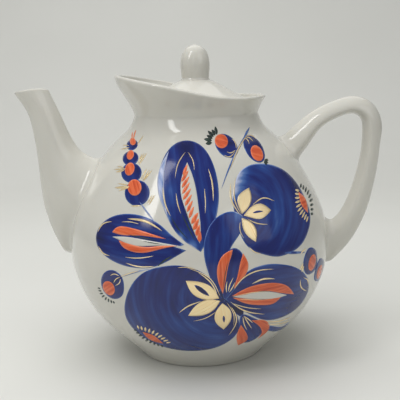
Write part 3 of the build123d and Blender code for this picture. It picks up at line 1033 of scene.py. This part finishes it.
def lower_right_flower(m):
    """The flower that points to the lower right, opened by a bare lens."""
    m.add(closed([
        (15, 66.2), (23, 75.5), (31.5, 82.5), (42, 84.8), (53, 83), (63, 78.5), (71, 70.5), (74.5, 60.5),
        (73, 51.5), (65.5, 43.8), (54.5, 41.3), (45, 42.5), (36, 47.5), (27.5, 54.5), (20, 60.5),
    ], 96), BLUE, 0.02, [
        (50, 46, 8, 0.1), (70, 66, 6, 0.12), (40, 82, 7, 0.08), (24, 63, 6, -0.1), (62, 52, 7, -0.06),
    ])
    m.lens(RED, 0.03, (20, 66.4), (62.6, 58.6), [(31.5, 71.4), (41, 72.2), (51, 70.4), (58, 66)],
           [(28, 66.4), (40, 67.2), (51, 63.6)])
    m.lens(PORCELAIN, 0.03, (20.5, 66), (57.5, 59.8), [(31.5, 66.8), (42, 66.4)],
           [(28, 63.6), (38.5, 61.4), (47.5, 59.6)])
    m.lens(RED, 0.03, (20.5, 65.2), (53, 59.6), [(29.5, 63.2), (40, 60.8)],
           [(29.5, 59.6), (40, 56.6), (48.5, 56.2)])
    m.lines(GILT, 0.05, [
        ([(21, 70.6), (27, 77.7), (37.5, 81.6), (48, 80.8)], 0.8),
        ([(33, 73.3), (41, 75.4), (48.5, 74)], 1.1),
        ([(19, 62.4), (27.5, 54.9), (42, 48.8)], 0.9), ([(20.6, 61), (29.5, 56.7), (39.5, 53.8)], 0.6),
        ([(67, 68.5), (67.6, 63), (73, 56.6)], 0.7), ([(69.4, 69), (73, 65.5), (73.6, 61.5)], 0.6),
        ([(22, 66), (34, 67.2), (45, 65.8)], 0.4), ([(24, 63.4), (33, 62), (41, 60.6)], 0.4),
    ])


def right_berries(m):
    """Two berries at the right edge, beside the handle."""
    berry(m, closed([(74, 88.5), (70, 84), (69.3, 76), (73, 69.8), (79.5, 71), (80.6, 80), (78.5, 86)]),
          oval(76.4, 77.3, 5.6, 3.2, 82))
    berry(m, closed([(83.5, 77), (79.6, 71), (80.2, 61), (84.6, 58.4), (88.2, 64), (87.6, 73)]),
          oval(84, 66, 5.4, 2.8, 84), lift=0.03)
    for start, end in [((67, 86.8), (71, 89)), ((69, 79.5), (66.6, 75.5)), ((69.4, 77.6), (67.8, 73.8))]:
        m.add(pointed(start, end, 1), GILT)


def bottom_tulip(m):
    """The small tulip that hangs below, with red sides."""
    m.add(closed([
        (26.5, 51.5), (24.8, 40), (24.8, 30), (29, 24.5), (36, 25.6), (41, 31.5), (41.5, 40), (35, 47),
    ]), BLUE, 0.04, [(33, 28, 5, 0.1)])
    m.lens(RED, 0.04, (26, 43), (24.6, 22.6), [(23.4, 33)], [(29.8, 35), (30.6, 27)])
    m.lens(RED, 0.04, (33, 45.5), (38.4, 25.4), [(39.6, 37), (40.6, 30)], [(43.6, 42), (46, 34)])
    m.lines(GILT, 0.07, [
        ([(27.2, 49.8), (28, 44), (30.2, 37.4)], 0.7), ([(28, 49.8), (30.4, 44.6), (33.6, 38)], 0.7),
        ([(27.6, 50.4), (31, 47), (34, 43)], 0.7),
    ])
    m.add(stroke([(41.5, 38.5), (49.5, 31.6), (58, 28), (62, 31.5)], 5), BLUE, tone=0.55)
    m.lines(GILT, 0.03, [
        ([(43.5, 41.6), (53.5, 38.2), (62, 37.4)], 0.9), ([(44, 39.4), (53, 35.4), (61, 33.6)], 0.7),
    ])


# ---- stage ----
def camera():
    """A camera a little above the lid, tilted slightly, looking at the belly."""
    distance, height, aim, off, roll = 0.540, 0.212, 0.112, 0.0012, radians(1.4)
    data = bpy.data.cameras.new("camera")
    data.sensor_width = 36.0
    # The lens that frames the pot from 0.400 m, carried back to this distance.
    data.lens = 36.0 * 1.3622 * distance / 0.400
    data.clip_start = 0.01
    item = linked("camera", data)
    look = Vector((0, distance, aim - height))
    item.matrix_world = (
        Matrix.Translation((off, -distance, height))
        @ look.to_track_quat("-Z", "Y").to_matrix().to_4x4()
        @ Matrix.Rotation(-roll, 4, "Z")
    )
    bpy.context.scene.camera = item


def stage_paper():
    """Matt pale paper with a faint mottle."""
    material, nodes, links, shader = nodes_of("stage_paper")
    mottle = noise(nodes, links, 3.0)
    tone = ramp(nodes, links, mottle, [(0.3, (0.645, 0.645, 0.608)), (0.7, (0.67, 0.67, 0.635))])
    links.new(tone, shader.inputs["Base Color"])
    shader.inputs["Roughness"].default_value = 0.75
    return material


def stage():
    """A pale floor that sweeps up behind the pot."""
    bend, half_width = 0.6, 4.0
    sweep = [(-3.0, 0.0), (0.7, 0.0)]
    turns = [pi / 2 * k / 16 for k in range(1, 17)]
    sweep += [(0.7 + bend * sin(a), bend - bend * cos(a)) for a in turns]
    sweep.append((1.3, 3.0))
    points = [(x, y, z) for y, z in sweep for x in (-half_width, half_width)]
    faces = [(2 * i, 2 * i + 1, 2 * i + 3, 2 * i + 2) for i in range(len(sweep) - 1)]
    mesh = new_mesh("stage", points, faces, unit=1.0)
    mesh.materials.append(stage_paper())
    for face in mesh.polygons:
        face.use_smooth = True
    linked("stage", mesh)


def area_light(name, place, aim, size, power, mirrored=True):
    """A soft rectangular light, seen in the glaze or not."""
    data = bpy.data.lights.new(name, "AREA")
    data.shape = "RECTANGLE"
    data.size, data.size_y = size
    data.energy = power
    item = linked(name, data)
    item.location = place
    item.visible_glossy = mirrored
    item.rotation_euler = (Vector(aim) - Vector(place)).to_track_quat("-Z", "Y").to_euler()


def lights():
    """An even grey surround, broad soft lights and the window seen in the glaze."""
    world = bpy.data.worlds.new("surround")
    world.use_nodes = True
    background = world.node_tree.nodes["Background"]
    set_inputs(background, {"Color": (0.80, 0.81, 0.82, 1), "Strength": 0.38})
    bpy.context.scene.world = world
    area_light("top_box", (-0.15, -0.05, 1.30), (0, 0, 0.05), (1.6, 1.3), 15.2, mirrored=False)
    area_light("front_fill", (-0.80, -1.30, 0.90), (0, 0, 0.10), (1.9, 1.2), 2.9, mirrored=False)
    area_light("right_fill", (0.85, -0.80, 0.65), (0, 0, 0.12), (0.8, 0.7), 1.3)
    area_light("window", (-0.66, -0.56, 0.98), (0, 0, 0.14), (0.20, 0.85), 2.6)
    area_light("skylight", (0.10, 0.75, 1.20), (0, 0, 0.14), (1.5, 0.5), 1.3)
    bpy.context.scene.view_settings.view_transform = "Standard"


# ---- build ----
camera()
stage()
lights()

pot = tube("porcelain_body", body_rings(), "pot", [GLAZE])
cut_strainer(pot)
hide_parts("pot_base", "lower_belly", "upper_belly", "shoulder", "collar")

spout = tube("porcelain_spout", spout_rings(), "pot", [GLAZE], capped=False)
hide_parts("spout")

handle = tube("porcelain_handle", handle_rings(), "pot", [GLAZE])
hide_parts("handle")

lid = tube("porcelain_lid", spun(lid_profile()), "lid", [GLAZE])
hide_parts("lid")

knob = tube("porcelain_knob", spun(knob_profile(), 72), "lid", [GLAZE])
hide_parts("lid_knob")

for draw, name, base in [
    (tulip, "painted_tulip", (1, 95)),
    (middle_leaf, "painted_middle_leaf", (12, 70)),
    (right_flower, "painted_right_flower", (27.7, 117)),
    (top_sprig, "painted_top_sprig", (28, 157)),
    (left_spray, "painted_left_spray", (-38, 124)),
    (left_flower, "painted_left_flower", (-9, 99)),
    (left_berry, "painted_left_berry", (-52, 75)),
    (big_flower, "painted_big_flower", (12.5, 65)),
    (bud, "painted_bud", (15.5, 66)),
    (lower_right_flower, "painted_lower_right_flower", (15, 66)),
    (right_berries, "painted_right_berries", (70, 86)),
    (bottom_tulip, "painted_bottom_tulip", (26, 52)),
]:
    motif = Motif(name, base)
    draw(motif)
    motif.build()
